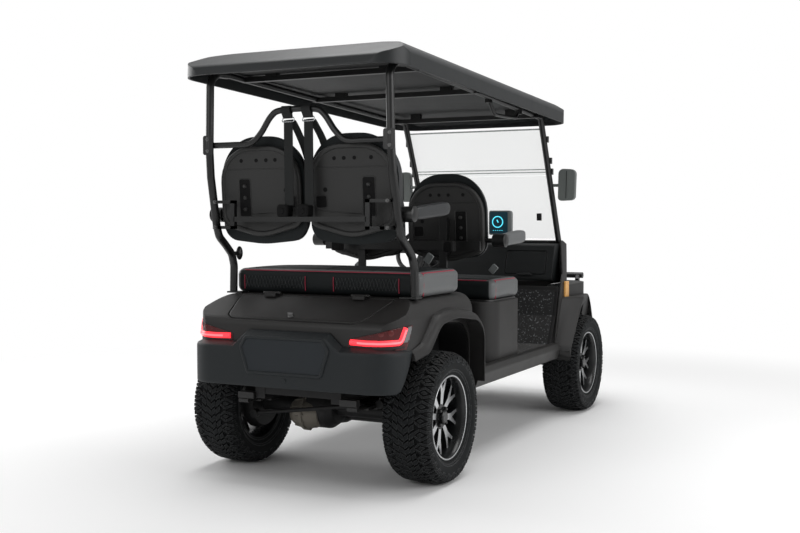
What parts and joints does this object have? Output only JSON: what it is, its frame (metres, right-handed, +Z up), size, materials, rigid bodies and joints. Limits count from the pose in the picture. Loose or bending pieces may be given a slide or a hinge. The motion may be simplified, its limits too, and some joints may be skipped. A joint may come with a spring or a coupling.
{
  "type": "golf cart",
  "caption": "Lifted off-road golf cart with two forward bench rows, a roof on tubes, folding windscreen, steered front axle, lifting rear lid and tipping front seat.",
  "frame": {"origin": "on the ground below the middle of the overall box", "axes": "+X forward, +Y to the left, +Z up"},
  "size_m": [3.0499, 1.2054, 1.9313],
  "materials": {
    "axle_casting": "bare sand-cast",
    "battery_case": "moulded",
    "belt_webbing": "woven",
    "body_shell": "fine matt",
    "bumper_plastic": "grained",
    "clear_lens": "lens",
    "dash_plastic": "grained",
    "flare_plastic": "fine grain",
    "floor_rubber": "studded mat",
    "frame_steel": "satin black paint",
    "grip_rubber": "soft grip",
    "liner_plastic": "moulded",
    "mirror_housing": "moulded",
    "motor_case": "cast",
    "pedal_metal": "ribbed",
    "red_lens": "lens",
    "rim_alloy": "machined face",
    "roof_lining": "moulded",
    "roof_shell": "satin moulding",
    "screen_gloss": "gloss",
    "seat_shell": "moulded",
    "seat_vinyl": "stitched vinyl",
    "spring_steel": "satin black paint",
    "tinted_screen": "tinted",
    "trim_metal": "brushed",
    "tube_paint": "satin powder coat",
    "tyre_rubber": "moulded tread"
  },
  "bodies": {
    "chassis": {"armrests": "seat_shell", "back_pads": "seat_vinyl", "back_shells": "seat_shell", "battery_pack": "battery_case", "belt_retractors": "liner_plastic", "belt_straps": "belt_webbing", "dash": "dash_plastic", "display": "screen_gloss", "drive_motor": "motor_case", "floor_mats": "floor_rubber", "floor_pan": "frame_steel", "frame_crossmembers": "frame_steel", "frame_rails": "frame_steel", "front_axle": "frame_steel", "front_cowl": "body_shell", "front_guard": "tube_paint", "front_lamps": "clear_lens", "front_pillars": "tube_paint", "front_pod": "body_shell", "front_seat_frame": "tube_paint", "mirrors": "mirror_housing", "pedals": "pedal_metal", "rear_axle": "axle_casting", "rear_body": "body_shell", "rear_bumper": "bumper_plastic", "rear_cushion": "seat_vinyl", "rear_seat_posts": "tube_paint", "rear_seat_tubes": "tube_paint", "rear_struts": "tube_paint", "rocker_panels": "body_shell", "roof_canopy": "roof_shell", "roof_crossbars": "tube_paint", "roof_liner": "roof_lining", "roof_rails": "tube_paint", "springs_and_dampers": "spring_steel", "steering_column": "frame_steel", "tail_lamps": "red_lens", "wheel_flares": "flare_plastic", "wheel_liners": "liner_plastic", "windscreen": "tinted_screen"},
    "left_knuckle": {"knuckle_left": "axle_casting"},
    "right_knuckle": {"knuckle_right": "axle_casting"},
    "tie_rod": {"tie_rod": "frame_steel"},
    "front_left_wheel": {"tyre_front_left": "tyre_rubber", "rim_front_left": "rim_alloy"},
    "front_right_wheel": {"tyre_front_right": "tyre_rubber", "rim_front_right": "rim_alloy"},
    "rear_left_wheel": {"tyre_rear_left": "tyre_rubber", "rim_rear_left": "rim_alloy"},
    "rear_right_wheel": {"tyre_rear_right": "tyre_rubber", "rim_rear_right": "rim_alloy"},
    "steering_wheel": {"steering_wheel": "grip_rubber"},
    "rear_lid": {"rear_lid": "body_shell"},
    "front_seat": {"front_cushion": "seat_vinyl", "front_seat_plate": "trim_metal"},
    "glove_door": {"glove_door": "dash_plastic"}
  },
  "joints": [
    {"name": "left_steer", "type": "hinge", "parent": "chassis", "child": "left_knuckle", "pos_m": [1.015, 0.425, 0.292], "axis": [0, 0, 1], "range_deg": [-30, 30]},
    {"name": "right_steer", "type": "hinge", "parent": "chassis", "child": "right_knuckle", "pos_m": [1.015, -0.425, 0.292], "axis": [0, 0, 1], "range_deg": [-30, 30]},
    {"name": "tie_rod_swing", "type": "hinge", "parent": "left_knuckle", "child": "tie_rod", "pos_m": [0.903, 0.425, 0.284], "axis": [0, 0, 1], "range_deg": [-30, 30]},
    {"name": "steering_turn", "type": "hinge", "parent": "chassis", "child": "steering_wheel", "pos_m": [0.448, 0.25, 0.99], "axis": [-0.766, 0, 0.6428], "range_deg": [-390, 390]},
    {"name": "front_left_roll", "type": "hinge", "parent": "left_knuckle", "child": "front_left_wheel", "pos_m": [1.015, 0.495, 0.292], "axis": [0, 1, 0], "continuous": true},
    {"name": "front_right_roll", "type": "hinge", "parent": "right_knuckle", "child": "front_right_wheel", "pos_m": [1.015, -0.495, 0.292], "axis": [0, 1, 0], "continuous": true},
    {"name": "rear_left_roll", "type": "hinge", "parent": "chassis", "child": "rear_left_wheel", "pos_m": [-1.065, 0.495, 0.292], "axis": [0, 1, 0], "continuous": true},
    {"name": "rear_right_roll", "type": "hinge", "parent": "chassis", "child": "rear_right_wheel", "pos_m": [-1.065, -0.495, 0.292], "axis": [0, 1, 0], "continuous": true},
    {"name": "rear_lid_lift", "type": "hinge", "parent": "chassis", "child": "rear_lid", "pos_m": [-1.238, 0, 0.8295], "axis": [0, 1, 0], "range_deg": [0, 70]},
    {"name": "front_seat_tilt", "type": "hinge", "parent": "chassis", "child": "front_seat", "pos_m": [0.053, 0, 0.7415], "axis": [0, 1, 0], "range_deg": [0, 60]},
    {"name": "glove_door_drop", "type": "hinge", "parent": "chassis", "child": "glove_door", "pos_m": [0.724, -0.275, 0.838], "axis": [0, -1, 0], "range_deg": [0, 80]}
  ],
  "couplings": [
    {"joint": "right_steer", "follows": "left_steer", "ratio": 1},
    {"joint": "tie_rod_swing", "follows": "left_steer", "ratio": -1},
    {"joint": "steering_turn", "follows": "left_steer", "ratio": 13}
  ]
}
